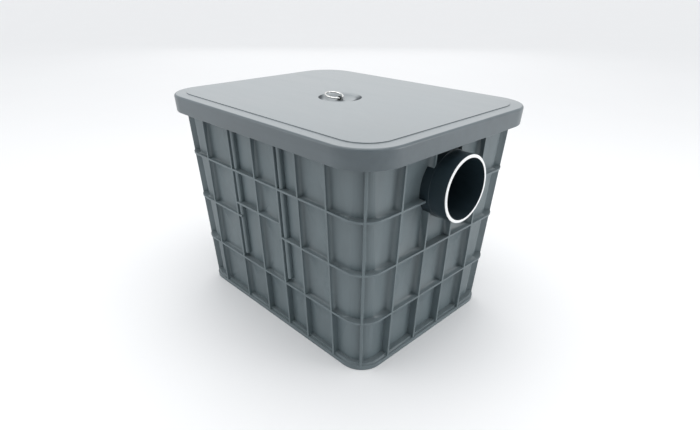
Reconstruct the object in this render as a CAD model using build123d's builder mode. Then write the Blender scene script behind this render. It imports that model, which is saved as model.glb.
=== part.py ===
from build123d import *
from math import asin, atan2, cos, degrees, hypot, radians, sin
import os

# Under-sink grease trap: a ribbed, tapered plastic tub with a lift-off lid, pipe stubs at both
# ends, two slide-in baffle plates and a lift-out strainer basket. Millimetres, +Z up, +X towards
# the inlet, origin under the middle of the tub on the surface that it stands on.

# Tub, outside: sizes over the ribs
tub_height = 387.5
tub_top_length = 496.0
tub_top_width = 392.0
tub_base_length = 462.0
tub_base_width = 351.0
tub_top_corner = 35.0
tub_base_corner = 42.0
wall = 4.0
floor_level = 10.0

# Ribs that are moulded on the tub
side_rib_depth = 11.0
end_rib_depth = 13.0
rib_thickness = 4.0
low_rib_z = 98.0
mid_rib_z = 190.0
raised_rib_z = 216.0
high_rib_z = 280.0
outlet_corner_rib_x = -165.0
middle_rib_x = -16.0
inlet_chamber_rib_x = 98.0
inlet_corner_rib_x = 164.0
end_rib_y = (-111.0, -42.0, 26.0, 95.0)
base_flange = 8.0
base_step_height = 4.0
base_step_inset = 4.0

# Pockets under the floor
foot_margin = 26.0
foot_web = 6.0
pocket_depth = 6.0
pocket_columns = 4
pocket_rows = 3

# Rim of the tub and its seal
rim_thickness = 5.0
rim_drop = 16.0
rim_lip_wall = 3.0
seal_width = 7.0
seal_edge = 2.5
seal_seat = 2.0
seal_proud = 2.5
seal_side_gap = 0.3

# Lid
lid_overhang = 21.0
lid_corner = 70.0
lid_plate = 5.0
skirt_height = 31.0
skirt_draft = 2.0
skirt_wall = 3.5
lid_clearance = 1.5
lid_edge_round = 4.0
skirt_edge_round = 1.2
border_width = 23.0
panel_rise = 1.4
lip_gap = 4.0
lip_wall = 3.0
lip_depth = 9.0
lid_rib_depth = 7.0
lid_rib_x = 118.0
lid_rib_y = 82.0

# Finger recess and pull ring on the lid
pull_x = 4.0
pull_y = -8.0
dish_radius = 40.0
dish_depth = 6.0
dish_wall = 3.5
dish_boss_radius = 28.0
eye_pad_radius = 9.0
eye_pad_rise = 0.5
eye_height = 3.0
eye_radius = 3.9
eye_thickness = 3.6
eye_base = 10.0
eye_collar_radius = 6.5
eye_collar = 0.8
bolt_radius = 2.5
bolt_tail = 3.0
washer_radius = 8.0
washer_thickness = 1.2
nut_flats = 8.0
nut_height = 4.0
bolt_hole_gap = 0.3
thread_gap = 0.1
ring_radius = 16.0
ring_wire = 3.2
ring_lean = 10.0
ring_clearance = 0.5

# Pipe stubs
face_to_face = 555.0
pipe_od = 110.0
pipe_wall = 5.0
pipe_shoulder = 1.0
shoulder_gap = 3.0
pipe_chamfer = 1.0
inlet_drop = 92.0
outlet_fall = 20.0
collar_length = 14.0
collar_wall = 5.0
pipe_clearance = 0.3
rib_relief = 1.0
o_ring_width = 4.0
o_ring_depth = 2.5
seal_radial_gap = 0.1
outlet_tail = 10.0

# Outlet elbow and dip pipe
bend_radius = 58.0
elbow_wall = 4.5
elbow_body_od = 114.0
socket_depth = 16.0
elbow_stop = 2.0
elbow_collar_gap = 1.0
elbow_socket_wall = 3.0
dip_wall = 4.0
dip_bottom_z = 112.0

# Baffle plates and the grooves that hold them
outlet_groove_x = -77.0
inlet_groove_x = 53.0
groove_rib_offset = 7.5
plate_thickness = 4.0
plate_clearance = 0.3
groove_depth = 10.0
bead_wall = 2.2
bead_depth = 8.6
bead_round = 3.6
groove_floor_z = 112.0
plate_drop = 19.5
hand_hole_length = 80.0
hand_hole_height = 20.0
hand_hole_drop = 30.0
plate_corner = 8.0

# Strainer basket and its wire handle
basket_drop = 53.5
basket_depth = 152.0
basket_wall = 3.0
basket_rim_thickness = 4.0
basket_gap = 5.0
basket_side_rim = 12.0
basket_end_rim = 5.0
basket_draft = 10.0
basket_corner = 18.0
ledge_lap = 8.0
ledge_length = 96.0
ledge_thickness = 12.0
basket_side_gap = 4.0
slot_width = 5.0
slot_pitch = 15.0
slot_length = 52.0
slot_rows = 2
slot_first_row = 8.0
slot_row_gap = 8.0
floor_slot_length = 46.0
notch_width = 124.0
notch_depth = 86.0
notch_corner = 12.0
handle_pivot_drop = 54.0
handle_reach = 90.0
handle_wire = 4.0
handle_bend = 9.0
handle_side_gap = 14.0
handle_pin_clearance = 0.1
handle_rest_gap = 0.3

# Levels and outlines that follow from the sizes above
CENTRE_LOW = (Align.CENTER, Align.CENTER, Align.MIN)
rim_underside = tub_height - rim_thickness
lid_underside = tub_height + seal_proud
lid_top = lid_underside + lid_plate
skirt_bottom = lid_top - skirt_height
lid_length = tub_top_length + 2 * lid_overhang
lid_width = tub_top_width + 2 * lid_overhang
rim_inset = skirt_draft + skirt_wall + lid_clearance
rim_length = lid_length - 2 * rim_inset
rim_width = lid_width - 2 * rim_inset
rim_corner = lid_corner - rim_inset
panel_z = lid_top + panel_rise
dish_ball_radius = (dish_radius**2 + dish_depth**2) / (2 * dish_depth)
dish_under_z = panel_z - dish_depth - dish_wall
eye_pad_z = panel_z - dish_depth + eye_pad_rise
hinge_z = eye_pad_z + eye_collar + eye_height
inlet_z = tub_height - inlet_drop
outlet_z = inlet_z - outlet_fall
plate_top_z = tub_height - plate_drop
basket_rim_z = tub_height - basket_drop
pipe_radius = pipe_od / 2
root_radius = pipe_radius + pipe_shoulder
bore_radius = pipe_radius - pipe_wall
seat_radius = root_radius + pipe_clearance
elbow_socket_radius = seat_radius + elbow_socket_wall
groove_width = plate_thickness + 2 * plate_clearance
bead_width = groove_width + 2 * bead_wall
pocket_field_x = tub_base_length - 2 * foot_margin
pocket_field_y = tub_base_width - 2 * foot_margin
pocket_x = (pocket_field_x - (pocket_columns - 1) * foot_web) / pocket_columns
pocket_y = (pocket_field_y - (pocket_rows - 1) * foot_web) / pocket_rows
outlet_groove_rib_x = outlet_groove_x - groove_rib_offset
inlet_groove_rib_x = inlet_groove_x - groove_rib_offset
side_rib_x = (
    outlet_corner_rib_x,
    outlet_groove_rib_x,
    middle_rib_x,
    inlet_groove_rib_x,
    inlet_chamber_rib_x,
    inlet_corner_rib_x,
)


def tub_share(base_size, top_size, z):
    """Size of the tapered tub at a height, between its size at the base and at the top."""
    return base_size + (top_size - base_size) * z / tub_height


def tub_half_length(z, inset=0.0):
    return tub_share(tub_base_length, tub_top_length, z) / 2 - inset


def tub_half_width(z, inset=0.0):
    return tub_share(tub_base_width, tub_top_width, z) / 2 - inset


def tub_corner(z, inset=0.0):
    return tub_share(tub_base_corner, tub_top_corner, z) - inset


end_inset = end_rib_depth + wall
side_inset = side_rib_depth + wall
basket_low_x = inlet_groove_x + plate_thickness / 2 + basket_gap
basket_high_x = tub_half_length(inlet_z, end_inset + collar_length + basket_gap)
basket_x = (basket_low_x + basket_high_x) / 2
ledge_z = basket_rim_z - basket_rim_thickness
basket_half_rim = tub_half_width(ledge_z, side_inset + basket_side_gap)
ledge_inner = basket_half_rim - ledge_lap


def tub_block(low, high, end, side, mode=Mode.ADD):
    """Tapered block between two heights, inset from the rib faces at the ends and the sides."""
    outlines = []
    for z in (low, high):
        with BuildSketch(Plane.XY.offset(z)) as outline:
            RectangleRounded(
                2 * tub_half_length(z, end), 2 * tub_half_width(z, side), tub_corner(z, side)
            )
        outlines.append(outline.sketch)
    loft(outlines, ruled=True, mode=mode, clean=False)


def frame_of(length, width, corner, band):
    """Flat rounded rectangular frame of a given band width, on the active sketch plane."""
    RectangleRounded(length, width, corner)
    RectangleRounded(length - 2 * band, width - 2 * band, corner - band, mode=Mode.SUBTRACT)


# Rib grid: upright ribs along the sides, the ends and the rounded corners, three rings of
# level ribs, of which the middle one steps up between the baffle grooves on the sides, and the
# flange round the base. It stands as high as the rim and is trimmed to the tub's taper.
core_length = tub_base_length - 2 * end_inset
core_width = tub_base_width - 2 * side_inset
core_corner = tub_base_corner - side_inset
raised_low_x = outlet_groove_x + bead_width / 2
raised_high_x = inlet_groove_rib_x - rib_thickness / 2


def level_rib(z, thickness, spans=None):
    """Level rib round the tub, centred on a height, or only over given spans of its sides."""
    with BuildSketch(Plane.XY.offset(z - thickness / 2)) as outline:
        if spans is None:
            Rectangle(tub_top_length, tub_top_width)
        else:
            for low_x, high_x in spans:
                with Locations(((low_x + high_x) / 2, 0)):
                    Rectangle(high_x - low_x, tub_top_width)
        RectangleRounded(core_length, core_width, core_corner, mode=Mode.SUBTRACT)
    extrude(outline.sketch, amount=thickness, clean=False)


def groove_column(half_width_inset, width, depth, low, high, corner, mode):
    """Upright column on both side walls at each groove, leaning with the wall's taper."""
    for side in (-1, 1):
        lean = side * (tub_half_width(high) - tub_half_width(low))
        start_y = side * tub_half_width(low, half_width_inset)
        with BuildSketch(Plane.XY.offset(low)) as section:
            for x in (outlet_groove_x, inlet_groove_x):
                with Locations((x, start_y - side * depth / 2)):
                    if corner > 0:
                        RectangleRounded(width, depth, corner)
                    else:
                        Rectangle(width, depth)
        extrude(
            section.sketch,
            amount=hypot(lean, high - low),
            dir=(0, lean, high - low),
            mode=mode,
            clean=False,
        )


def pipe_cylinders(radius, inner, outer, mode):
    """Cylinders on both pipes' axes, between two distances out from the rib faces there."""
    starts = [
        Plane(origin=(side * (tub_half_length(z) + inner), 0, z), z_dir=(side, 0, 0))
        for side, z in ((1, inlet_z), (-1, outlet_z))
    ]
    with Locations(*starts):
        Cylinder(radius, outer - inner, align=CENTRE_LOW, mode=mode)


collar_inner = -end_inset - collar_length
o_ring_inner = collar_inner + (collar_length - o_ring_width) / 2


def cut_grooves():
    """The grooves that the baffle plates slide down, open at the rim."""
    groove_column(
        side_inset - groove_depth,
        groove_width,
        2 * groove_depth,
        groove_floor_z,
        tub_height + wall,
        0,
        Mode.SUBTRACT,
    )


with BuildPart() as rib_grid:
    with BuildSketch():
        with Locations(*[(x, 0) for x in side_rib_x]):
            Rectangle(rib_thickness, tub_top_width)
        with Locations(*[(0, y) for y in end_rib_y]):
            Rectangle(tub_top_length, rib_thickness)
        middle_z = tub_height / 2
        corner_x = tub_half_length(middle_z, tub_corner(middle_z))
        corner_y = tub_half_width(middle_z, tub_corner(middle_z))
        corner_reach = hypot(tub_half_length(tub_height) - corner_x, tub_half_width(tub_height) - corner_y)
        for turn_x in (-1, 1):
            for turn_y in (-1, 1):
                with Locations(Location((turn_x * corner_x, turn_y * corner_y), 45 * turn_x * turn_y)):
                    Rectangle(2 * corner_reach, rib_thickness)
        RectangleRounded(core_length, core_width, core_corner, mode=Mode.SUBTRACT)
    extrude(amount=rim_underside)
    level_rib(low_rib_z, rib_thickness)
    level_rib(high_rib_z, rib_thickness)
    level_rib(
        mid_rib_z,
        rib_thickness,
        ((-tub_top_length / 2, raised_low_x), (raised_high_x, tub_top_length / 2)),
    )
    level_rib(raised_rib_z, rib_thickness, ((outlet_groove_rib_x, inlet_groove_rib_x),))
    level_rib(base_flange / 2, base_flange)

# Ribs: the grid trimmed between the rib faces and the wall, and cleared round the pipes
with BuildPart() as ribs:
    tub_block(0, rim_underside, 0, 0)
    tub_block(0, rim_underside, end_rib_depth + wall / 2, side_rib_depth + wall / 2, Mode.SUBTRACT)
    add(rib_grid.part, mode=Mode.INTERSECT)
    pipe_cylinders(root_radius + rib_relief, collar_inner, pipe_wall, Mode.SUBTRACT)
    cut_grooves()

# Tub: one moulding with ribs, beads round the baffle grooves, pipe collars, ledges for the
# basket, a turned-down rim with a seat for the seal, and pockets under its floor
with BuildPart() as tub:
    tub_block(0, rim_underside, end_rib_depth, side_rib_depth)
    tub_block(0, base_flange + base_step_height, base_step_inset, base_step_inset)
    groove_column(
        side_rib_depth - bead_depth,
        bead_width,
        bead_depth + wall / 2,
        groove_floor_z - bead_wall,
        rim_underside,
        bead_round,
        Mode.ADD,
    )
    with BuildSketch(Plane.XY.offset(rim_underside)):
        RectangleRounded(rim_length, rim_width, rim_corner)
    extrude(amount=rim_thickness)
    with BuildSketch(Plane.XY.offset(tub_height - rim_drop)) as rim_lip:
        frame_of(rim_length, rim_width, rim_corner, rim_lip_wall)
    extrude(rim_lip.sketch, amount=rim_drop)
    tub_block(floor_level, tub_height + wall, end_inset, side_inset, Mode.SUBTRACT)
    cut_grooves()
    with BuildSketch(Plane.XY.offset(tub_height - seal_seat)) as seal_groove:
        frame_of(
            rim_length - 2 * seal_edge, rim_width - 2 * seal_edge, rim_corner - seal_edge, seal_width
        )
    extrude(seal_groove.sketch, amount=seal_seat, mode=Mode.SUBTRACT)
    pipe_cylinders(seat_radius + collar_wall, collar_inner, -end_rib_depth - wall / 2, Mode.ADD)
    pipe_cylinders(seat_radius, collar_inner - wall, pipe_wall, Mode.SUBTRACT)
    pipe_cylinders(
        root_radius + o_ring_depth, o_ring_inner, o_ring_inner + o_ring_width, Mode.SUBTRACT
    )
    for side in (-1, 1):
        ledge_outer = tub_half_width(ledge_z, side_inset - wall / 2)
        with BuildSketch(Plane.YZ.offset(basket_x - ledge_length / 2)) as ledge:
            with BuildLine():
                Polyline(
                    (side * ledge_inner, ledge_z),
                    (side * ledge_outer, ledge_z),
                    (side * ledge_outer, ledge_z - 2 * ledge_thickness),
                    (side * (ledge_outer - wall), ledge_z - 2 * ledge_thickness),
                    (side * ledge_inner, ledge_z - ledge_thickness / 2),
                    close=True,
                )
            make_face()
        extrude(ledge.sketch, amount=ledge_length)
    with BuildSketch():
        with GridLocations(pocket_x + foot_web, pocket_y + foot_web, pocket_columns, pocket_rows):
            Rectangle(pocket_x, pocket_y)
    extrude(amount=pocket_depth, mode=Mode.SUBTRACT)
    add(ribs.part)
tub.part.label = "tub"

# Lid seal: a flat rubber cord in the rim's seat, which the lid lies on
with BuildPart() as lid_seal:
    with BuildSketch(Plane.XY.offset(tub_height - seal_seat)):
        frame_of(
            rim_length - 2 * (seal_edge + seal_side_gap),
            rim_width - 2 * (seal_edge + seal_side_gap),
            rim_corner - seal_edge - seal_side_gap,
            seal_width - 2 * seal_side_gap,
        )
    extrude(amount=seal_seat + seal_proud)
lid_seal.part.label = "lid_seal"

# Lid: a shallow cap with a skirt round the tub's rim, a slightly raised panel, a lip that finds
# the tub's mouth, cross ribs underneath and a bowl-shaped finger recess for the pull ring
with BuildPart() as lid:
    with BuildSketch(Plane.XY.offset(skirt_bottom)):
        RectangleRounded(
            lid_length - 2 * skirt_draft, lid_width - 2 * skirt_draft, lid_corner - skirt_draft
        )
    with BuildSketch(Plane.XY.offset(lid_top)):
        RectangleRounded(lid_length, lid_width, lid_corner)
    loft(ruled=True)
    fillet(lid.faces().sort_by(Axis.Z)[-1].edges(), lid_edge_round)
    fillet(lid.faces().sort_by(Axis.Z)[0].edges(), skirt_edge_round)
    with BuildSketch(Plane.XY.offset(skirt_bottom)):
        RectangleRounded(
            lid_length - 2 * (skirt_draft + skirt_wall),
            lid_width - 2 * (skirt_draft + skirt_wall),
            lid_corner - skirt_draft - skirt_wall,
        )
    with BuildSketch(Plane.XY.offset(lid_underside)):
        RectangleRounded(
            lid_length - 2 * skirt_wall, lid_width - 2 * skirt_wall, lid_corner - skirt_wall
        )
    loft(ruled=True, mode=Mode.SUBTRACT)
    with BuildSketch(Plane.XY.offset(lid_top)):
        RectangleRounded(
            lid_length - 2 * border_width, lid_width - 2 * border_width, lid_corner - border_width
        )
    extrude(amount=panel_rise)
    lip_length = 2 * tub_half_length(tub_height, end_inset + lip_gap)
    lip_width = 2 * tub_half_width(tub_height, side_inset + lip_gap)
    with BuildSketch(Plane.XY.offset(lid_underside)):
        frame_of(lip_length, lip_width, tub_corner(tub_height, side_inset + lip_gap), lip_wall)
    extrude(amount=-lip_depth)
    with BuildSketch(Plane.XY.offset(lid_underside)):
        with Locations((-lid_rib_x, 0), (lid_rib_x, 0)):
            Rectangle(lip_wall, lip_width - lip_wall)
        with Locations((0, -lid_rib_y), (0, lid_rib_y)):
            Rectangle(lip_length - lip_wall, lip_wall)
    extrude(amount=-lid_rib_depth)
    with Locations((pull_x, pull_y, dish_under_z)):
        Cylinder(dish_boss_radius, dish_wall + panel_rise, align=CENTRE_LOW)
    with Locations((pull_x, pull_y, panel_z - dish_depth + dish_ball_radius)):
        Sphere(dish_ball_radius, mode=Mode.SUBTRACT)
    with Locations((pull_x, pull_y, dish_under_z)):
        Cylinder(eye_pad_radius, dish_wall + eye_pad_rise, align=CENTRE_LOW)
        Cylinder(bolt_radius + bolt_hole_gap, 2 * (dish_depth + dish_wall), mode=Mode.SUBTRACT)
lid.part.label = "lid"

# Eye bolt: a lug with a cross hole for the ring, on a collar and a threaded shank
nut_bottom_z = dish_under_z - washer_thickness - nut_height
with BuildPart() as eye_bolt:
    with Locations((pull_x, pull_y, eye_pad_z)):
        Cylinder(eye_collar_radius, eye_collar, align=CENTRE_LOW)
    with BuildSketch(Plane.XZ.offset(-pull_y)):
        with Locations((pull_x, hinge_z)):
            Circle(eye_radius)
        with Locations((pull_x, eye_pad_z + eye_collar / 2)):
            Rectangle(eye_base, eye_collar)
        make_hull()
        with Locations((pull_x, hinge_z)):
            Circle(ring_wire / 2 + ring_clearance, mode=Mode.SUBTRACT)
    extrude(amount=eye_thickness / 2, both=True)
    with Locations((pull_x, pull_y, nut_bottom_z - bolt_tail)):
        Cylinder(bolt_radius, eye_pad_z - nut_bottom_z + bolt_tail, align=CENTRE_LOW)
eye_bolt.part.label = "eye_bolt"

# Washer and nut that hold the eye bolt under the recess
with BuildPart() as eye_washer:
    with BuildSketch(Plane.XY.offset(dish_under_z - washer_thickness)):
        with Locations((pull_x, pull_y)):
            Circle(washer_radius)
            Circle(bolt_radius + bolt_hole_gap, mode=Mode.SUBTRACT)
    extrude(amount=washer_thickness)
eye_washer.part.label = "eye_washer"

with BuildPart() as eye_nut:
    with BuildSketch(Plane.XY.offset(nut_bottom_z)):
        with Locations((pull_x, pull_y)):
            RegularPolygon(nut_flats / 2, 6, major_radius=False)
            Circle(bolt_radius + thread_gap, mode=Mode.SUBTRACT)
    extrude(amount=nut_height)
eye_nut.part.label = "eye_nut"

# Pull ring: a closed wire ring through the eye, leaning a little up from flat towards the outlet
ring_plane = Plane(
    origin=(
        pull_x - ring_radius * cos(radians(ring_lean)),
        pull_y,
        hinge_z + ring_radius * sin(radians(ring_lean)),
    ),
    z_dir=(sin(radians(ring_lean)), 0, cos(radians(ring_lean))),
)
with BuildPart(ring_plane) as pull_ring:
    Torus(ring_radius, ring_wire / 2)
pull_ring.part.label = "pull_ring"


def pipe_plane(side, z, distance):
    """Plane across a pipe's axis at a distance from the middle, facing out of the tub."""
    return Plane(origin=(side * distance, 0, z), z_dir=(side, 0, 0))


def pipe_stub(side, z, inner):
    """Pipe stub with a slightly thicker root, which gives the outside coupling its stop."""
    shoulder = tub_half_length(z) + shoulder_gap
    with BuildPart(pipe_plane(side, z, inner)) as stub:
        Cylinder(root_radius, shoulder - inner, align=CENTRE_LOW)
        Cylinder(pipe_radius, face_to_face / 2 - inner, align=CENTRE_LOW)
        ends = stub.edges().filter_by(GeomType.CIRCLE).group_by(SortBy.RADIUS)
        chamfer(ends[-1].sort_by(Axis.X)[0 if side > 0 else -1], pipe_chamfer)
        chamfer(ends[0].sort_by(Axis.X)[-1 if side > 0 else 0], pipe_chamfer)
        Cylinder(bore_radius, 2 * face_to_face, mode=Mode.SUBTRACT)
    return stub.part


inlet_end_x = tub_half_length(inlet_z) + collar_inner
outlet_end_x = tub_half_length(outlet_z) + collar_inner - outlet_tail
inlet_pipe = pipe_stub(1, inlet_z, inlet_end_x)
inlet_pipe.label = "inlet_pipe"
outlet_pipe = pipe_stub(-1, outlet_z, outlet_end_x)
outlet_pipe.label = "outlet_pipe"


def pipe_seal(side, z):
    """Rubber ring between a pipe and the groove inside the tub's collar."""
    inner = tub_half_length(z) + o_ring_inner + seal_side_gap
    with BuildPart(pipe_plane(side, z, inner)) as seal:
        with BuildSketch(pipe_plane(side, z, inner)):
            Circle(root_radius + o_ring_depth - seal_radial_gap)
            Circle(root_radius + seal_radial_gap, mode=Mode.SUBTRACT)
        extrude(amount=o_ring_width - 2 * seal_side_gap)
    return seal.part


inlet_seal = pipe_seal(1, inlet_z)
inlet_seal.label = "inlet_seal"
outlet_seal = pipe_seal(-1, outlet_z)
outlet_seal.label = "outlet_seal"

# Outlet elbow: turns down inside the outlet chamber, with a socket at each end
elbow_outer = elbow_body_od / 2
elbow_bore = elbow_outer - elbow_wall
bend_x = -(outlet_end_x - elbow_stop)
leg_x = bend_x + bend_radius
leg_z = outlet_z - bend_radius
pipe_socket_depth = outlet_tail + elbow_stop - elbow_collar_gap
with BuildPart() as outlet_elbow:
    with BuildSketch(Plane(origin=(bend_x, 0, outlet_z), z_dir=(1, 0, 0))):
        Circle(elbow_outer)
    revolve(axis=Axis((bend_x, 0, leg_z), (0, 1, 0)), revolution_arc=90)
    with Locations(Plane(origin=(bend_x, 0, outlet_z), z_dir=(-1, 0, 0))):
        Cylinder(elbow_socket_radius, pipe_socket_depth, align=CENTRE_LOW)
    with Locations(Plane(origin=(leg_x, 0, leg_z), z_dir=(0, 0, -1))):
        Cylinder(elbow_socket_radius, socket_depth, align=CENTRE_LOW)
    with BuildSketch(Plane(origin=(bend_x, 0, outlet_z), z_dir=(1, 0, 0))):
        Circle(elbow_bore)
    revolve(axis=Axis((bend_x, 0, leg_z), (0, 1, 0)), revolution_arc=90, mode=Mode.SUBTRACT)
    with Locations(Plane(origin=(bend_x - elbow_stop, 0, outlet_z), z_dir=(-1, 0, 0))):
        Cylinder(seat_radius, socket_depth, align=CENTRE_LOW, mode=Mode.SUBTRACT)
    with Locations(Plane(origin=(bend_x, 0, outlet_z), z_dir=(-1, 0, 0))):
        Cylinder(elbow_bore, socket_depth, align=CENTRE_LOW, mode=Mode.SUBTRACT)
    with Locations(Plane(origin=(leg_x, 0, leg_z - elbow_stop), z_dir=(0, 0, -1))):
        Cylinder(seat_radius, socket_depth, align=CENTRE_LOW, mode=Mode.SUBTRACT)
    with Locations(Plane(origin=(leg_x, 0, leg_z), z_dir=(0, 0, -1))):
        Cylinder(elbow_bore, socket_depth, align=CENTRE_LOW, mode=Mode.SUBTRACT)
outlet_elbow.part.label = "outlet_elbow"

# Dip pipe: hangs from the elbow into the clear water under the grease
with BuildPart() as dip_pipe:
    with BuildSketch(Plane.XY.offset(dip_bottom_z)):
        with Locations((leg_x, 0)):
            Circle(pipe_radius)
            Circle(pipe_radius - dip_wall, mode=Mode.SUBTRACT)
    extrude(amount=leg_z - elbow_stop - dip_bottom_z)
dip_pipe.part.label = "dip_pipe"


def baffle_plate(x):
    """Flat plate that slides down a pair of grooves, with a hand hole near its top."""
    with BuildPart() as plate:
        with BuildSketch(Plane.YZ.offset(x - plate_thickness / 2)) as outline:
            edge = side_inset - groove_depth + plate_clearance
            low_y = tub_half_width(groove_floor_z, edge)
            high_y = tub_half_width(plate_top_z, edge)
            Polygon(
                (-low_y, groove_floor_z),
                (low_y, groove_floor_z),
                (high_y, plate_top_z),
                (-high_y, plate_top_z),
                align=None,
            )
            fillet(outline.vertices().group_by(Axis.Y)[-1], plate_corner)
            with Locations((0, plate_top_z - hand_hole_drop)):
                SlotOverall(hand_hole_length, hand_hole_height, mode=Mode.SUBTRACT)
        extrude(amount=plate_thickness)
    return plate.part


inlet_baffle = baffle_plate(inlet_groove_x)
inlet_baffle.label = "inlet_baffle"
outlet_baffle = baffle_plate(outlet_groove_x)
outlet_baffle.label = "outlet_baffle"

# Strainer basket: a slotted plastic tray whose rim lies on the tub's ledges, open towards the
# inlet, with a cross hole in each side for the handle
basket_length = basket_high_x - basket_low_x - 2 * basket_end_rim
basket_width = 2 * (basket_half_rim - basket_side_rim)
basket_floor_z = basket_rim_z - basket_depth
pivot_z = basket_rim_z - handle_pivot_drop


def basket_block(low, high, inset, mode=Mode.ADD):
    """Tapered block inside the basket's outside faces."""
    outlines = []
    for z in (low, high):
        narrow = basket_draft * (basket_rim_z - z) / basket_depth + inset
        with BuildSketch(Plane.XY.offset(z)) as outline:
            with Locations((basket_x, 0)):
                RectangleRounded(
                    basket_length - 2 * narrow, basket_width - 2 * narrow, basket_corner - inset
                )
        outlines.append(outline.sketch)
    loft(outlines, ruled=True, mode=mode)


def basket_half_width(z):
    """Outside half width of the basket at a height."""
    return basket_width / 2 - basket_draft * (basket_rim_z - z) / basket_depth


with BuildPart() as strainer_basket:
    basket_block(basket_floor_z, basket_rim_z, 0)
    with BuildSketch(Plane.XY.offset(ledge_z)):
        with Locations((basket_x, 0)):
            RectangleRounded(
                basket_high_x - basket_low_x, 2 * basket_half_rim, basket_corner + basket_end_rim
            )
    extrude(amount=basket_rim_thickness)
    basket_block(basket_floor_z + basket_wall, basket_rim_z + basket_wall, basket_wall, Mode.SUBTRACT)
    row_pitch = slot_length + slot_row_gap
    row_z = basket_floor_z + slot_first_row + slot_length / 2
    side_slots = int((basket_length - 2 * basket_corner) // slot_pitch)
    with BuildSketch(Plane.XZ.offset(-basket_width)) as side_slot_field:
        with Locations((basket_x, row_z + row_pitch * (slot_rows - 1) / 2)):
            with GridLocations(slot_pitch, row_pitch, side_slots, slot_rows):
                Rectangle(slot_width, slot_length)
    extrude(side_slot_field.sketch, amount=2 * basket_width, mode=Mode.SUBTRACT)
    end_slots = int((basket_width - 2 * basket_corner - basket_draft) // slot_pitch)
    with BuildSketch(Plane.YZ.offset(basket_x - basket_length)) as end_slot_field:
        with Locations((0, row_z)):
            with GridLocations(slot_pitch, row_pitch, end_slots, 1):
                Rectangle(slot_width, slot_length)
    extrude(end_slot_field.sketch, amount=2 * basket_length, mode=Mode.SUBTRACT)
    floor_columns = int((basket_length - 2 * basket_draft) // (floor_slot_length + slot_row_gap))
    with BuildSketch(Plane.XY.offset(basket_floor_z - basket_wall)):
        with Locations((basket_x, 0)):
            with GridLocations(floor_slot_length + slot_row_gap, slot_pitch, floor_columns, end_slots):
                Rectangle(floor_slot_length, slot_width)
    extrude(amount=3 * basket_wall, mode=Mode.SUBTRACT)
    with BuildSketch(Plane.YZ.offset(basket_x)) as notch:
        with Locations((0, basket_rim_z - notch_depth / 2 + notch_corner / 2)):
            RectangleRounded(notch_width, notch_depth + notch_corner, notch_corner)
    extrude(notch.sketch, amount=basket_length, mode=Mode.SUBTRACT)
    with Locations(Plane(origin=(basket_x, -basket_width, pivot_z), z_dir=(0, 1, 0))):
        Cylinder(
            handle_wire / 2 + handle_pin_clearance, 2 * basket_width, align=CENTRE_LOW, mode=Mode.SUBTRACT
        )
strainer_basket.part.label = "strainer_basket"

# Basket handle: a wire bail in the basket's side holes, at rest on the rim's edge towards the
# outlet and free to swing over to the edge towards the inlet
rim_edge_x = basket_length / 2 - basket_wall
rest_angle = degrees(
    atan2(handle_pivot_drop, rim_edge_x)
    + asin((handle_wire / 2 + handle_rest_gap) / hypot(handle_pivot_drop, rim_edge_x))
)
handle_plane = Plane(
    origin=(basket_x, 0, pivot_z),
    x_dir=(0, 1, 0),
    z_dir=(sin(radians(rest_angle)), 0, cos(radians(rest_angle))),
)
arm_y = basket_half_width(pivot_z) - basket_wall - handle_side_gap
pin_end = basket_half_width(pivot_z) + handle_wire / 2
with BuildPart() as basket_handle:
    with BuildLine(handle_plane) as handle_path:
        FilletPolyline(
            (-pin_end, 0),
            (-arm_y, 0),
            (-arm_y, handle_reach),
            (arm_y, handle_reach),
            (arm_y, 0),
            (pin_end, 0),
            radius=(handle_wire, handle_bend, handle_bend, handle_wire),
        )
    with BuildSketch(Plane(origin=(basket_x, -pin_end, pivot_z), z_dir=(0, 1, 0))) as wire:
        Circle(handle_wire / 2)
    sweep(wire.sketch, path=handle_path.wires()[0])
basket_handle.part.label = "basket_handle"

os.makedirs("parts", exist_ok=True)
for part in (
    tub.part,
    lid_seal.part,
    lid.part,
    eye_bolt.part,
    eye_washer.part,
    eye_nut.part,
    pull_ring.part,
    inlet_pipe,
    outlet_pipe,
    inlet_seal,
    outlet_seal,
    outlet_elbow.part,
    dip_pipe.part,
    inlet_baffle,
    outlet_baffle,
    strainer_basket.part,
    basket_handle.part,
):
    export_step(part, "parts/" + part.label + ".step")
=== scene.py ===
"""Finishes, small parts and studio of an under-sink grease trap.

The solids of the trap are the frame. Each one is shown as a copy of its own surface with the sharp
edges eased, in a finish of its own. Metres, +Z up, +X towards the inlet, origin under the middle.
"""
import logging
import math
from collections.abc import Callable, Iterator
from dataclasses import dataclass, field
from enum import Enum

import bpy
from mathutils import Matrix, Vector


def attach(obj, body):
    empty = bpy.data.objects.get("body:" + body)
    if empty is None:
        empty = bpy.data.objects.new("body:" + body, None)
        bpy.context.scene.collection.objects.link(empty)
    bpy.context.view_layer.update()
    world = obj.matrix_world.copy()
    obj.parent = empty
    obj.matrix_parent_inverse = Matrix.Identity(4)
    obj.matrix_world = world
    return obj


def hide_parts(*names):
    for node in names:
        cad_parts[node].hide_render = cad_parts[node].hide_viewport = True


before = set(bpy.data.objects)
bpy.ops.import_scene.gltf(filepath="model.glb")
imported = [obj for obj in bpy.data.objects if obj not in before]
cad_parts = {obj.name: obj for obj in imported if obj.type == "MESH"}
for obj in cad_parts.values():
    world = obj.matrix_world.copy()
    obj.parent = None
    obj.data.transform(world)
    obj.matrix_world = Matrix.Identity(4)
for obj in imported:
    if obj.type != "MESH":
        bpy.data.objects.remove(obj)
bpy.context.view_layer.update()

log = logging.getLogger("grease_trap")

MM = 0.001

Colour = tuple[float, float, float]
Triple = tuple[float, float, float]


class Body(Enum):
    """The parts of the trap that move by themselves."""

    TUB = "tub"
    LID = "lid"
    RING = "pull_ring"
    HANDLE = "basket_handle"


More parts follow.
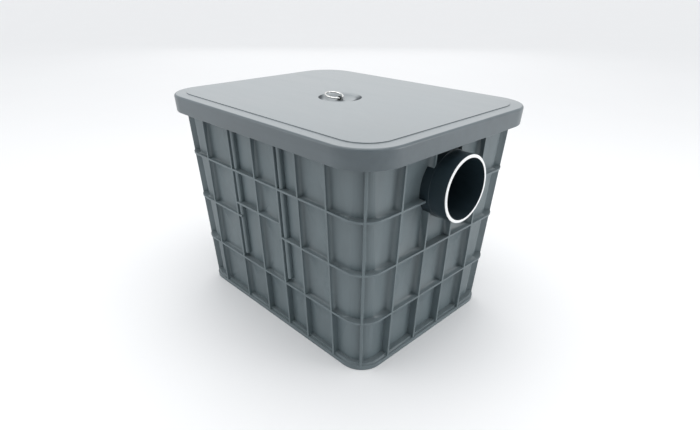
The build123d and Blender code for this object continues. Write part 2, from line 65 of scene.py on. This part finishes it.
class Slot(Enum):
    """The material slots of the trap."""

    TUB = "tub_plastic"
    LID = "lid_plastic"
    PIPE = "pipe_plastic"
    PLATE = "plate_plastic"
    BASKET = "basket_plastic"
    RUBBER = "rubber"
    EYE = "eye_steel"
    WIRE = "wire_steel"
    RING = "ring_chrome"


class Wire:
    """An output of a shader node, on which plain arithmetic adds Math nodes."""

    def __init__(self, shader: "Shader", socket: bpy.types.NodeSocket) -> None:
        """Keeps the socket and the shader that it belongs to."""
        self.shader = shader
        self.socket = socket

    def _math(self, operation: str, first: "Wire | float", second: "Wire | float") -> "Wire":
        """Adds one Math node.

        Args:
            operation: the node's operation.
            first: its first value.
            second: its second value.

        Returns:
            The node's result.
        """
        return self.shader.node("ShaderNodeMath", {"operation": operation}, {0: first, 1: second})

    def __add__(self, other: "Wire | float") -> "Wire":
        """Sum of two values."""
        return self._math("ADD", self, other)

    def __radd__(self, other: float) -> "Wire":
        """Sum with a number on the left."""
        return self._math("ADD", other, self)

    def __sub__(self, other: "Wire | float") -> "Wire":
        """Difference of two values."""
        return self._math("SUBTRACT", self, other)

    def __rsub__(self, other: float) -> "Wire":
        """Difference from a number."""
        return self._math("SUBTRACT", other, self)

    def __mul__(self, other: "Wire | float") -> "Wire":
        """Product of two values."""
        return self._math("MULTIPLY", self, other)

    def __rmul__(self, other: float) -> "Wire":
        """Product with a number on the left."""
        return self._math("MULTIPLY", other, self)


class Shader:
    """The node tree of one material."""

    def __init__(self, name: str) -> None:
        """Makes an empty material of that name."""
        self.material = bpy.data.materials.new(name)
        self.material.use_nodes = True
        self.tree = self.material.node_tree
        self.tree.nodes.clear()

    def node(self, kind: str, settings: dict | None = None, inputs: dict | None = None,
             output: int | str = 0) -> Wire:
        """Adds a node.

        Args:
            kind: the node's type.
            settings: its own settings, which are set before its sockets.
            inputs: values or wires, by the name or number of their socket.
            output: the name or number of the socket that is handed back.

        Returns:
            The chosen output.
        """
        made = self.tree.nodes.new(kind)
        for name, value in (settings or {}).items():
            setattr(made, name, value)
        for key, value in (inputs or {}).items():
            socket = made.inputs[key]
            if isinstance(value, Wire):
                self.tree.links.new(value.socket, socket)
            else:
                socket.default_value = value
        return Wire(self, made.outputs[output])

    def place(self, stretch: Triple = (1.0, 1.0, 1.0)) -> Wire:
        """Place on the piece in metres, multiplied along each axis."""
        coordinates = self.node("ShaderNodeTexCoord", output="Object")
        return self.node("ShaderNodeMapping", inputs={"Vector": coordinates, "Scale": stretch})

    def upward(self) -> Wire:
        """How far the surface looks up, from 0 for an upright face to 1 for a level one."""
        return self.part(self.node("ShaderNodeNewGeometry", output="Normal"), "Z")

    def part(self, vector: Wire, axis: str) -> Wire:
        """Part of a vector along X, Y or Z."""
        return self.node("ShaderNodeSeparateXYZ", inputs={"Vector": vector}, output=axis)

    def noise(self, where: Wire, per_metre: float, detail: float = 3.0, rough: float = 0.5) -> Wire:
        """Smooth noise between 0 and 1.

        Args:
            where: the place to read it at.
            per_metre: how many clouds there are in a metre.
            detail: how many finer layers are added.
            rough: how strong the finer layers are.

        Returns:
            The noise's value.
        """
        inputs = {"Vector": where, "Scale": per_metre, "Detail": detail, "Roughness": rough}
        return self.node("ShaderNodeTexNoise", inputs=inputs)

    def step(self, value: Wire, low: float, high: float) -> Wire:
        """Value that goes smoothly from 0 at low to 1 at high."""
        settings = {"interpolation_type": "SMOOTHSTEP"}
        return self.node("ShaderNodeMapRange", settings, {0: value, 1: low, 2: high})

    def mix(self, factor: Wire, first: Colour | Wire, second: Colour | Wire) -> Wire:
        """Colour between two colours."""
        ends = [c if isinstance(c, Wire) else (*c, 1.0) for c in (first, second)]
        settings = {"data_type": "RGBA"}
        return self.node("ShaderNodeMix", settings, {0: factor, 6: ends[0], 7: ends[1]}, output=2)

    def bump(self, height: Wire, depth: float, below: Wire | None = None) -> Wire:
        """Normal of a surface with small relief.

        Args:
            height: the relief, between 0 and 1.
            depth: what a height of 1 is in metres.
            below: the normal of a larger relief that this one lies on.

        Returns:
            The normal.
        """
        inputs = {"Strength": 1.0, "Distance": depth, "Height": height}
        if below is not None:
            inputs["Normal"] = below
        return self.node("ShaderNodeBump", inputs=inputs)

    def finish(self, inputs: dict) -> bpy.types.Material:
        """Closes the tree with a Principled shader that has these inputs."""
        surface = self.node("ShaderNodeBsdfPrincipled", inputs=inputs)
        output = self.tree.nodes.new("ShaderNodeOutputMaterial")
        self.tree.links.new(surface.socket, output.inputs["Surface"])
        return self.material


@dataclass(frozen=True)
class PaintedHollowShade:
    """Painted shade on the slope of a round hollow, on two sides of it, where the hollow's own shadow
    falls.

    Attributes:
        centre: middle of the hollow, in x and y.
        foot: radius at which the slope begins.
        rim: radius at which it ends.
        edge: share of the rim's radius at which the painted shade fades out towards the rim.
        near_way: direction of the wider patch from the middle, in x and y.
        near_span: where that patch begins and is full, as shares of the rim's radius.
        far_way: direction of the narrower patch.
        far_span: where that one begins and is full.
        shade: colour of the painted shade.
        roughness: how much more matt it is than the finish below.
    """

    centre: tuple[float, float]
    foot: float
    rim: float
    edge: float = 0.96
    near_way: tuple[float, float] = (0.99, 0.14)
    near_span: tuple[float, float] = (0.2, 0.8)
    far_way: tuple[float, float] = (-0.71, -0.71)
    far_span: tuple[float, float] = (0.68, 0.9)
    shade: Colour = (0.012, 0.018, 0.024)
    roughness: float = 0.45

    def mask(self, shader: Shader) -> Wire:
        """Where the painted shade lies.

        Args:
            shader: the tree that it is made in.

        Returns:
            A value from 0 for none to 1 for full painted shade.
        """
        where = shader.place()
        along, across = (shader.part(where, axis) - middle for axis, middle in zip("XY", self.centre))
        reach = along * along + across * across
        middle_radius = (self.foot + self.rim) / 2.0
        rises = shader.step(reach, self.foot ** 2, middle_radius ** 2)
        fades = 1.0 - shader.step(reach, (self.edge * self.rim) ** 2, self.rim ** 2)
        # Two patches of painted shade, a wider and a narrower one, stand in for the shadow inside the
        # hollow.
        near, far = (shader.step(along * way[0] + across * way[1], *(share * self.rim for share in span))
                     for way, span in ((self.near_way, self.near_span), (self.far_way, self.far_span)))
        return rises * fades * (near + far)


@dataclass(frozen=True)
class MouldedPlastic:
    """Plastic from a mould: soft clouds of shade, flow streaks, light scuffs, a fine skin, and dust with a
    painted sheen on faces that look up.

    Attributes:
        name: the material's name.
        shade: the plastic's own colour.
        roughness: how matt it is.
        stretch: streaks run along the axis with the smallest number.
        cloud: share by which clouds and streaks change the shade.
        dust_and_sheen: how much of the pale shade faces that look up take on, partly dust and partly
            painted sheen of the light from above.
        dust_and_sheen_shade: colour of the dust and painted sheen.
        dust_and_sheen_slope: how far up a face looks where the dust and painted sheen begin and where they
            are full.
        dust_and_sheen_even: share of it that lies everywhere.
        dust_and_sheen_patchy: share of it that follows the clouds.
        index: how strongly the surface reflects, as its index of refraction.
        waviness: height in metres of the slow waves that bend its reflections.
        waves_per_metre: how many of those waves there are in a metre.
        skin: depth in metres of the fine grain.
        clouds_per_metre: how many clouds there are in a metre.
        streaks_per_metre: how many streaks there are in a metre along them.
        grains_per_metre: how many grains of the skin there are in a metre.
        scuffs_per_metre: how many places for a scuff there are in a metre.
        tone_levels: levels of clouds and streaks at which the shade is deepest and palest.
        scuff_levels: levels of the noise at which a scuff begins and is full.
        scuff_cover: how much of the shade a full scuff hides.
        scuff_gain: how much brighter a scuff is.
        scuff_lift: what is added to its shade.
        polish: how much less matt it is where nothing below makes it duller.
        tone_dulls: how much duller the palest places are.
        scuff_dulls: how much duller a scuff is.
        grain_dulls: how much duller a grain is.
        hollow_painted_shade: painted shade on the slope of a hollow, if it has one.
    """

    name: str
    shade: Colour
    roughness: float = 0.45
    stretch: Triple = (1.0, 9.0, 9.0)
    cloud: float = 0.10
    dust_and_sheen: float = 0.12
    dust_and_sheen_shade: Colour = (0.43, 0.45, 0.46)
    dust_and_sheen_slope: tuple[float, float] = (0.93, 0.995)
    dust_and_sheen_even: float = 0.85
    dust_and_sheen_patchy: float = 0.3
    index: float = 1.49
    waviness: float = 0.00008
    waves_per_metre: float = 18.0
    skin: float = 0.000012
    clouds_per_metre: float = 7.0
    streaks_per_metre: float = 6.0
    grains_per_metre: float = 700.0
    scuffs_per_metre: float = 160.0
    tone_levels: tuple[float, float] = (0.3, 0.7)
    scuff_levels: tuple[float, float] = (0.62, 0.78)
    scuff_cover: float = 0.35
    scuff_gain: float = 1.12
    scuff_lift: float = 0.01
    polish: float = 0.05
    tone_dulls: float = 0.06
    scuff_dulls: float = 0.10
    grain_dulls: float = 0.04
    hollow_painted_shade: PaintedHollowShade | None = None

    def material(self) -> bpy.types.Material:
        """Builds the finish."""
        shader = Shader(self.name)
        where = shader.place()
        clouds = shader.noise(where, self.clouds_per_metre, detail=4.0)
        streaks = shader.noise(shader.place(self.stretch), self.streaks_per_metre, detail=5.0, rough=0.6)
        grain = shader.noise(where, self.grains_per_metre, detail=2.0)
        scratches = shader.noise(where, self.scuffs_per_metre, detail=6.0, rough=0.7)
        scuffs = shader.step(scratches, *self.scuff_levels)
        pale = tuple(c * (1.0 + self.cloud) for c in self.shade)
        deep = tuple(c * (1.0 - self.cloud) for c in self.shade)
        tone = shader.step(clouds * 0.5 + streaks * 0.5, *self.tone_levels)
        rubbed = tuple(c * self.scuff_gain + self.scuff_lift for c in self.shade)
        plain = shader.mix(scuffs * self.scuff_cover, shader.mix(tone, deep, pale), rubbed)
        # Faces that look up are paled: partly dust, partly painted sheen of the light from above.
        level = shader.step(shader.upward(), *self.dust_and_sheen_slope)
        dust_and_sheen_amount = level * (self.dust_and_sheen * self.dust_and_sheen_even + clouds * (self.dust_and_sheen * self.dust_and_sheen_patchy))
        colour = shader.mix(dust_and_sheen_amount, plain, self.dust_and_sheen_shade)
        rough = (self.roughness - self.polish + tone * self.tone_dulls
                 + scuffs * self.scuff_dulls + grain * self.grain_dulls)
        # Painted shade: the hollow's slope is darkened and dulled where its shadow falls.
        if self.hollow_painted_shade:
            painted_shade_mask = self.hollow_painted_shade.mask(shader)
            colour = shader.mix(painted_shade_mask, colour, self.hollow_painted_shade.shade)
            rough = rough + painted_shade_mask * self.hollow_painted_shade.roughness
        waves = shader.bump(shader.noise(where, self.waves_per_metre, detail=1.0), self.waviness)
        return shader.finish({
            "Base Color": colour,
            "Roughness": rough,
            "IOR": self.index,
            "Normal": shader.bump(grain, self.skin, waves),
        })


@dataclass(frozen=True)
class CutPlastic:
    """The pale sawn end of a pipe, with faint marks from the saw.

    Attributes:
        name: the material's name.
        shade: its colour between the marks.
        stretch: the marks run along the axis with the smallest number.
        marks_per_metre: how many marks there are in a metre.
        mark_depth: how deep they are in metres.
        mark_shade: how bright a mark is, as a share of the colour between them.
        roughness: how matt the end is.
        mark_dulls: how much duller the end is between the marks.
    """

    name: str
    shade: Colour = (0.86, 0.87, 0.87)
    stretch: Triple = (1.0, 30.0, 4.0)
    marks_per_metre: float = 40.0
    mark_depth: float = 0.00003
    mark_shade: float = 0.93
    roughness: float = 0.5
    mark_dulls: float = 0.15

    def material(self) -> bpy.types.Material:
        """Builds the finish."""
        shader = Shader(self.name)
        marks = shader.noise(shader.place(self.stretch), self.marks_per_metre, detail=4.0)
        dull = tuple(c * self.mark_shade for c in self.shade)
        return shader.finish({
            "Base Color": shader.mix(marks, dull, self.shade),
            "Roughness": self.roughness + marks * self.mark_dulls,
            "Normal": shader.bump(marks, self.mark_depth),
        })


@dataclass(frozen=True)
class SoftRubber:
    """Black rubber, slightly chalky where it has been handled.

    Attributes:
        name: the material's name.
        shade: the rubber's own colour.
        roughness: how matt the clean rubber is.
        chalk: how much paler its chalky patches are.
        chalk_dulls: how much duller they are.
        patch_levels: levels of the noise at which a patch begins and is full.
        patches_per_metre: how many of them there are in a metre.
        grains_per_metre: how many grains of its skin there are in a metre.
        grain_depth: how deep the grains are in metres.
    """

    name: str
    shade: Colour = (0.018, 0.018, 0.019)
    roughness: float = 0.55
    chalk: float = 0.03
    chalk_dulls: float = 0.2
    patch_levels: tuple[float, float] = (0.45, 0.75)
    patches_per_metre: float = 45.0
    grains_per_metre: float = 900.0
    grain_depth: float = 0.00002

    def material(self) -> bpy.types.Material:
        """Builds the finish."""
        shader = Shader(self.name)
        where = shader.place()
        patches = shader.noise(where, self.patches_per_metre, detail=5.0, rough=0.6)
        bloom = shader.step(patches, *self.patch_levels)
        chalky = tuple(c + self.chalk for c in self.shade)
        return shader.finish({
            "Base Color": shader.mix(bloom, self.shade, chalky),
            "Roughness": self.roughness + bloom * self.chalk_dulls,
            "Normal": shader.bump(shader.noise(where, self.grains_per_metre, detail=2.0), self.grain_depth),
        })


@dataclass(frozen=True)
class Metal:
    """Drawn or plated metal with a fine grain and duller spots.

    Attributes:
        name: the material's name.
        shade: colour of the clean metal.
        tarnish: colour of its duller spots.
        roughness: how matt the clean metal is.
        grains_per_metre: how many grains there are in a metre.
        grain_depth: how deep they are in metres.
        grain_dulls: how much duller a grain is.
        spots_per_metre: how many duller spots there are in a metre.
        spot_levels: levels of the noise at which a spot begins and is full.
        spot_dulls: how much duller a spot is.
    """

    name: str
    shade: Colour
    tarnish: Colour
    roughness: float
    grains_per_metre: float = 1200.0
    grain_depth: float = 0.000006
    grain_dulls: float = 0.05
    spots_per_metre: float = 260.0
    spot_levels: tuple[float, float] = (0.5, 0.72)
    spot_dulls: float = 0.18

    def material(self) -> bpy.types.Material:
        """Builds the finish."""
        shader = Shader(self.name)
        where = shader.place()
        grain = shader.noise(where, self.grains_per_metre, detail=2.0)
        spots = shader.step(shader.noise(where, self.spots_per_metre, detail=4.0), *self.spot_levels)
        return shader.finish({
            "Base Color": shader.mix(spots, self.shade, self.tarnish),
            "Metallic": 1.0,
            "Roughness": self.roughness + spots * self.spot_dulls + grain * self.grain_dulls,
            "Normal": shader.bump(grain, self.grain_depth),
        })


class Bench:
    """Mesh work by Blender's own tools, on one object at a time."""

    @staticmethod
    def take(piece: bpy.types.Object) -> None:
        """Makes a piece the only selected one, and the active one."""
        bpy.ops.object.select_all(action="DESELECT")
        piece.select_set(True)
        bpy.context.view_layer.objects.active = piece

    @staticmethod
    def edit(piece: bpy.types.Object, *steps: Callable[[], object]) -> None:
        """Runs steps in edit mode, each on the whole mesh."""
        Bench.take(piece)
        bpy.ops.object.mode_set(mode="EDIT")
        for step in steps:
            bpy.ops.mesh.select_all(action="SELECT")
            step()
        bpy.ops.object.mode_set(mode="OBJECT")

    @staticmethod
    def modify(piece: bpy.types.Object, kind: str, **settings: object) -> None:
        """Adds a modifier with these settings and applies it."""
        Bench.take(piece)
        modifier = piece.modifiers.new(kind.lower(), kind)
        for name, value in settings.items():
            setattr(modifier, name, value)
        bpy.ops.object.modifier_apply(modifier=modifier.name)

    @staticmethod
    def smooth(piece: bpy.types.Object, angle: float = 32.0) -> None:
        """Shades a piece smooth, apart from edges sharper than the angle in degrees."""
        Bench.take(piece)
        bpy.ops.object.shade_smooth_by_angle(angle=math.radians(angle))


@dataclass
class EasedSolid:
    """One solid of the trap, with its sharp edges eased as a mould or a tool leaves them.

    Attributes:
        node: the solid's name.
        name: the new piece's name.
        body: what it moves with.
        slot: the material slot it wears.
        radius: width of its eased edges.
        sharp: angle in degrees from which an edge counts as sharp.
        weld: corners that lie closer than this become one.
        room: shortest edge that has room to be eased, in widths of the eased edge.
        segments: number of faces across an eased edge.
        flatness: how strongly large faces keep their own shading next to an eased edge.
    """

    node: str
    name: str
    body: Body
    slot: Slot
    radius: float = 0.5 * MM
    sharp: float = 35.0
    weld: float = 0.02 * MM
    room: float = 2.0
    segments: int = 2
    flatness: int = 100

    def build(self) -> bpy.types.Object:
        """Copies the solid's surface, joins its faces and eases its edges.

        Returns:
            The piece, undressed, in the solid's place.
        """
        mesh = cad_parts[self.node].data.copy()
        mesh.materials.clear()
        piece = bpy.data.objects.new(self.name, mesh)
        bpy.context.scene.collection.objects.link(piece)
        Bench.edit(piece, lambda: bpy.ops.mesh.remove_doubles(threshold=self.weld))
        self._weigh_edges(piece)
        Bench.modify(piece, "BEVEL", width=self.radius, segments=self.segments,
                     limit_method="WEIGHT", use_clamp_overlap=False)
        Bench.smooth(piece)
        Bench.modify(piece, "WEIGHTED_NORMAL", mode="FACE_AREA", weight=self.flatness, keep_sharp=True)
        return piece

    def _weigh_edges(self, piece: bpy.types.Object) -> None:
        """Marks the sharp outer edges that have room to be eased."""
        mesh = piece.data
        Bench.take(piece)
        bpy.ops.object.mode_set(mode="EDIT")
        bpy.ops.mesh.select_mode(type="EDGE")
        bpy.ops.mesh.select_all(action="DESELECT")
        bpy.ops.mesh.edges_select_sharp(sharpness=math.radians(self.sharp))
        bpy.ops.object.mode_set(mode="OBJECT")
        points = mesh.vertices
        least = self.room * self.radius
        sharp = [edge for edge in mesh.edges if edge.select]
        short = {v for edge in sharp for v in edge.vertices
                 if (points[edge.vertices[0]].co - points[edge.vertices[1]].co).length < least}
        sides = self._sides(mesh)
        weights = mesh.attributes.new("bevel_weight_edge", "FLOAT", "EDGE")
        for edge in sharp:
            first, second = (sides.get(pair) for pair in (tuple(edge.vertices), tuple(edge.vertices)[::-1]))
            if first and second and second[0].dot(first[1]) < 0.0 and not short.intersection(edge.vertices):
                weights.data[edge.index].value = 1.0

    @staticmethod
    def _sides(mesh: bpy.types.Mesh) -> dict[tuple[int, int], tuple[Vector, Vector]]:
        """Normal of the face on each directed edge, and the way into that face from the edge."""
        points = mesh.vertices
        found = {}
        for face in mesh.polygons:
            corners = face.vertices
            for here, there in zip(corners, [*corners[1:], corners[0]]):
                along = points[there].co - points[here].co
                found[here, there] = (face.normal.copy(), face.normal.cross(along))
        return found


@dataclass
class Assembly:
    """A group of pieces that are made and dressed together.

    Attributes:
        finishes: the finish of each material slot.
        made: the pieces that are made so far.
    """

    finishes: dict[Slot, bpy.types.Material]
    made: list[bpy.types.Object] = field(default_factory=list)

    def dress(self, piece: bpy.types.Object, body: Body, slot: Slot, *nodes: str) -> None:
        """Gives a piece its finish and its body, and hides the solids that it takes the place of.

        Args:
            piece: the finished mesh.
            body: what it moves with.
            slot: the material slot it wears.
            nodes: the solids that it takes the place of.
        """
        piece.data.materials.append(self.finishes[slot])
        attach(piece, body.value)
        if nodes:
            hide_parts(*nodes)
        self.made.append(piece)
        log.info("%s: %d faces, moves with %s", piece.name, len(piece.data.polygons), body.value)

    def ease(self, solid: EasedSolid) -> bpy.types.Object:
        """Builds and dresses one eased solid."""
        piece = solid.build()
        self.dress(piece, solid.body, solid.slot, solid.node)
        return piece


@dataclass
class Tub(Assembly):
    """The ribbed tub and the rubber ring on its rim.

    Attributes:
        edge_radius: width of the tub's eased edges.
        seal_radius: width of those of the ring.
    """

    edge_radius: float = 0.6 * MM
    seal_radius: float = 0.7 * MM

    def build(self) -> None:
        """Makes the tub and its seal."""
        self.ease(EasedSolid("tub", "tub_shell", Body.TUB, Slot.TUB, self.edge_radius))
        self.ease(EasedSolid("lid_seal", "rim_seal", Body.TUB, Slot.RUBBER, self.seal_radius))


@dataclass
class Lid(Assembly):
    """The lid with the eye, ring and fixings of its pull.

    Attributes:
        edge_radius: width of the lid's eased edges.
        fitting_radius: width of those of its pull.
    """

    edge_radius: float = 0.6 * MM
    fitting_radius: float = 0.25 * MM

    def build(self) -> None:
        """Makes the lid and its pull."""
        self.ease(EasedSolid("lid", "lid_cap", Body.LID, Slot.LID, self.edge_radius))
        for node in ("eye_bolt", "eye_washer", "eye_nut"):
            self.ease(EasedSolid(node, node + "_turned", Body.LID, Slot.EYE, self.fitting_radius))
        self.ease(EasedSolid("pull_ring", "pull_ring_bent", Body.RING, Slot.RING, self.fitting_radius))


@dataclass
class Pipes(Assembly):
    """Both pipe stubs, their seals, the elbow and the dip pipe.

    Attributes:
        edge_radius: width of their eased edges.
        end_depth: how far behind its end a stub is pale.
        end_facing: how squarely a face looks along the pipe from which it counts as its end.
        cut_end: the finish of the sawn ends.
    """

    edge_radius: float = 0.4 * MM
    end_depth: float = 1.2 * MM
    end_facing: float = 0.5
    cut_end: CutPlastic = field(default_factory=lambda: CutPlastic("pipe_cut_end"))

    def build(self) -> None:
        """Makes the pipework."""
        pale = self.cut_end.material()
        for node in ("inlet_pipe", "outlet_pipe"):
            stub = self.ease(EasedSolid(node, node + "_stub", Body.TUB, Slot.PIPE, self.edge_radius))
            self._whiten_end(stub, pale)
        for node in ("inlet_seal", "outlet_seal"):
            self.ease(EasedSolid(node, node + "_moulded", Body.TUB, Slot.RUBBER, self.edge_radius))
        for node in ("outlet_elbow", "dip_pipe"):
            self.ease(EasedSolid(node, node + "_moulded", Body.TUB, Slot.PIPE, self.edge_radius))

    def _whiten_end(self, stub: bpy.types.Object, pale: bpy.types.Material) -> None:
        """Gives the outer end face of a stub its pale sawn finish.

        Args:
            stub: the pipe stub.
            pale: the finish of the sawn end.
        """
        stub.data.materials.append(pale)
        outer = max(abs(v.co.x) for v in stub.data.vertices)
        for face in stub.data.polygons:
            if abs(face.center.x) > outer - self.end_depth and abs(face.normal.x) > self.end_facing:
                face.material_index = 1


@dataclass
class Interior(Assembly):
    """The baffle plates, the strainer basket and its handle.

    Attributes:
        plate_radius: width of the plates' eased edges.
        basket_radius: width of those of the basket.
    """

    plate_radius: float = 0.5 * MM
    basket_radius: float = 0.5 * MM

    def build(self) -> None:
        """Makes what hangs and slides inside the tub."""
        for node in ("inlet_baffle", "outlet_baffle"):
            self.ease(EasedSolid(node, node + "_plate", Body.TUB, Slot.PLATE, self.plate_radius))
        self.ease(EasedSolid("strainer_basket", "strainer_moulded", Body.TUB, Slot.BASKET,
                             self.basket_radius))
        self.ease(EasedSolid("basket_handle", "basket_handle_bent", Body.HANDLE, Slot.WIRE))


@dataclass(frozen=True)
class PhotoCamera:
    """Camera at the photograph's view, in degrees, metres and the photograph's pixels.

    Attributes:
        azimuth: turn about the upright axis, from straight in front of the tub's side.
        elevation: height above the level view.
        roll: turn about the line of sight.
        distance: distance from the point that it turns about.
        target_height: height of that point above the floor.
        focal_pixels: focal length.
        centre_x: column that the line of sight meets.
        centre_y: row that it meets.
        frame_width: width of the picture.
        frame_height: height of the picture.
        sensor: width of the sensor in millimetres.
        near_limit: distance from which things are seen.
    """

    azimuth: float = 45.93
    elevation: float = 25.215
    roll: float = 0.328
    distance: float = 1.01247
    target_height: float = 0.15138
    focal_pixels: float = 500.8
    centre_x: float = 341.05
    centre_y: float = 218.23
    frame_width: float = 700.0
    frame_height: float = 430.0
    sensor: float = 36.0
    near_limit: float = 0.01

    def build(self) -> bpy.types.Object:
        """Adds the camera and makes it the scene's own."""
        azimuth, elevation, roll = (math.radians(a) for a in (self.azimuth, self.elevation, self.roll))
        level = math.cos(elevation)
        back = Vector((math.sin(azimuth) * level, -math.cos(azimuth) * level, math.sin(elevation)))
        right = Vector((math.cos(azimuth), math.sin(azimuth), 0.0))
        up = back.cross(right)
        turn = Matrix((right, up, back)).transposed() @ Matrix.Rotation(roll, 3, "Z")
        bpy.ops.object.camera_add()
        camera = bpy.context.object
        camera.matrix_world = (Matrix.Translation(Vector((0.0, 0.0, self.target_height))
                                                  + back * self.distance) @ turn.to_4x4())
        camera.data.sensor_width = self.sensor
        camera.data.lens = self.focal_pixels * self.sensor / self.frame_width
        camera.data.shift_x = (self.frame_width / 2.0 - self.centre_x) / self.frame_width
        camera.data.shift_y = (self.centre_y - self.frame_height / 2.0) / self.frame_width
        camera.data.clip_start = self.near_limit
        bpy.context.scene.camera = camera
        return camera


@dataclass(frozen=True)
class SoftBox:
    """A square studio light.

    Attributes:
        name: the light's name.
        place: where it hangs.
        size: length of its side.
        power: power in watts.
        aim: the point that it looks at.
    """

    name: str
    place: Triple
    size: float
    power: float
    aim: Triple = (0.0, 0.0, 0.2)

    def build(self) -> None:
        """Adds the light."""
        bpy.ops.object.light_add(type="AREA", location=self.place)
        light = bpy.context.object
        light.name = self.name
        light.data.size = self.size
        light.data.energy = self.power
        light.visible_camera = False
        way = Vector(self.aim) - Vector(self.place)
        light.rotation_euler = way.to_track_quat("-Z", "Y").to_euler()


@dataclass(frozen=True)
class Studio:
    """Pale floor, pale surroundings, soft lights and a dark card behind the camera.

    Attributes:
        floor_size: length of the floor's side.
        floor_shade: the floor's darker colour.
        floor_gain: how much brighter its paler patches are.
        patches_per_metre: how many patches of either there are in a metre.
        floor_roughness: how matt it is.
        air_shade: colour of the surroundings.
        air_strength: how bright they are.
        card_place: middle of the card, which the camera doesn't see.
        card_size: length of its side.
        felt_shade: colour of its felt.
        nap_shade: colour of the felt's paler grains.
        nap_per_metre: how many grains there are in a metre.
        felt_roughness: how matt it is.
        lights: the soft lights.
    """

    floor_size: float = 70.0
    floor_shade: Colour = (0.86, 0.86, 0.865)
    floor_gain: float = 1.02
    patches_per_metre: float = 2.0
    floor_roughness: float = 0.7
    air_shade: Colour = (0.97, 0.985, 1.0)
    air_strength: float = 0.98
    card_place: Triple = (1.60, -1.55, 1.15)
    card_size: float = 1.45
    felt_shade: Colour = (0.03, 0.03, 0.03)
    nap_shade: Colour = (0.05, 0.05, 0.05)
    nap_per_metre: float = 300.0
    felt_roughness: float = 0.9
    lights: tuple[SoftBox, ...] = (
        SoftBox("overhead", (0.05, -0.05, 1.25), 1.0, 6.6),
        SoftBox("behind", (-2.4, 2.3, 2.0), 3.4, 11.0),
        SoftBox("left", (-1.5, -1.9, 1.0), 1.3, 7.5),
        SoftBox("right", (2.0, 1.2, 0.55), 1.0, 13.0, (0.2, 0.1, 0.1)),
    )

    def build(self) -> None:
        """Adds floor, card, air, lights and camera."""
        bpy.ops.mesh.primitive_plane_add(size=self.floor_size)
        floor = bpy.context.object
        floor.name = "studio_floor"
        shader = Shader("studio_floor_paint")
        mottle = shader.noise(shader.place(), self.patches_per_metre)
        paler = tuple(c * self.floor_gain for c in self.floor_shade)
        floor.data.materials.append(shader.finish({
            "Base Color": shader.mix(mottle, self.floor_shade, paler),
            "Roughness": self.floor_roughness,
        }))
        bpy.ops.mesh.primitive_plane_add(size=self.card_size, location=self.card_place)
        card = bpy.context.object
        card.name = "dark_card"
        card.rotation_euler = Vector(self.card_place).to_track_quat("Z", "Y").to_euler()
        felt = Shader("card_felt")
        nap = felt.noise(felt.place(), self.nap_per_metre)
        card.data.materials.append(felt.finish({
            "Base Color": felt.mix(nap, self.felt_shade, self.nap_shade),
            "Roughness": self.felt_roughness,
        }))
        card.visible_camera = False
        world = bpy.data.worlds.new("studio_air")
        world.use_nodes = True
        background = world.node_tree.nodes["Background"]
        background.inputs["Color"].default_value = (*self.air_shade, 1.0)
        background.inputs["Strength"].default_value = self.air_strength
        bpy.context.scene.world = world
        bpy.context.scene.view_settings.view_transform = "Standard"
        for light in self.lights:
            light.build()
        PhotoCamera().build()


def finishes() -> dict[Slot, bpy.types.Material]:
    """Makes the finish of each material slot."""
    grey = (0.110, 0.141, 0.153)
    flow_down = (9.0, 9.0, 1.0)
    # Painted shade in the lid's hollow around the pull, standing in for the shadow inside it.
    recess_painted_shade = PaintedHollowShade(centre=(4.0 * MM, -8.0 * MM), foot=24.0 * MM, rim=40.0 * MM)
    return {
        Slot.TUB: MouldedPlastic("tub_moulded_grey", grey, 0.42, flow_down).material(),
        # The lid's top is paled strongly: a little dust, mostly painted sheen of the light from above.
        Slot.LID: MouldedPlastic("lid_moulded_grey", (0.088, 0.110, 0.122), 0.34, dust_and_sheen=0.33,
                                 hollow_painted_shade=recess_painted_shade).material(),
        Slot.PIPE: MouldedPlastic("pipe_dark_grey", (0.016, 0.028, 0.036), 0.33, index=1.42,
                                  dust_and_sheen=0.02).material(),
        Slot.PLATE: MouldedPlastic("plate_grey", (0.20, 0.22, 0.23), 0.48).material(),
        Slot.BASKET: MouldedPlastic("basket_grey", (0.13, 0.15, 0.16), 0.45, flow_down).material(),
        Slot.RUBBER: SoftRubber("black_rubber").material(),
        Slot.EYE: Metal("eye_dark_steel", (0.09, 0.10, 0.10), (0.03, 0.03, 0.03), 0.24).material(),
        Slot.WIRE: Metal("wire_stainless", (0.58, 0.58, 0.57), (0.40, 0.39, 0.37), 0.26).material(),
        Slot.RING: Metal("ring_bright_plate", (0.66, 0.66, 0.65), (0.34, 0.32, 0.30), 0.08).material(),
    }


def parts_of_trap() -> Iterator[Assembly]:
    """The sub-assemblies, in the order in which they are made."""
    worn = finishes()
    for kind in (Tub, Lid, Pipes, Interior):
        yield kind(worn)


def main() -> None:
    """Builds the trap and its studio."""
    logging.basicConfig(level=logging.INFO, format="%(name)s: %(message)s")
    for assembly in parts_of_trap():
        assembly.build()
        log.info("%s: %d pieces", type(assembly).__name__, len(assembly.made))
    Studio().build()


if __name__ == "__main__":
    main()
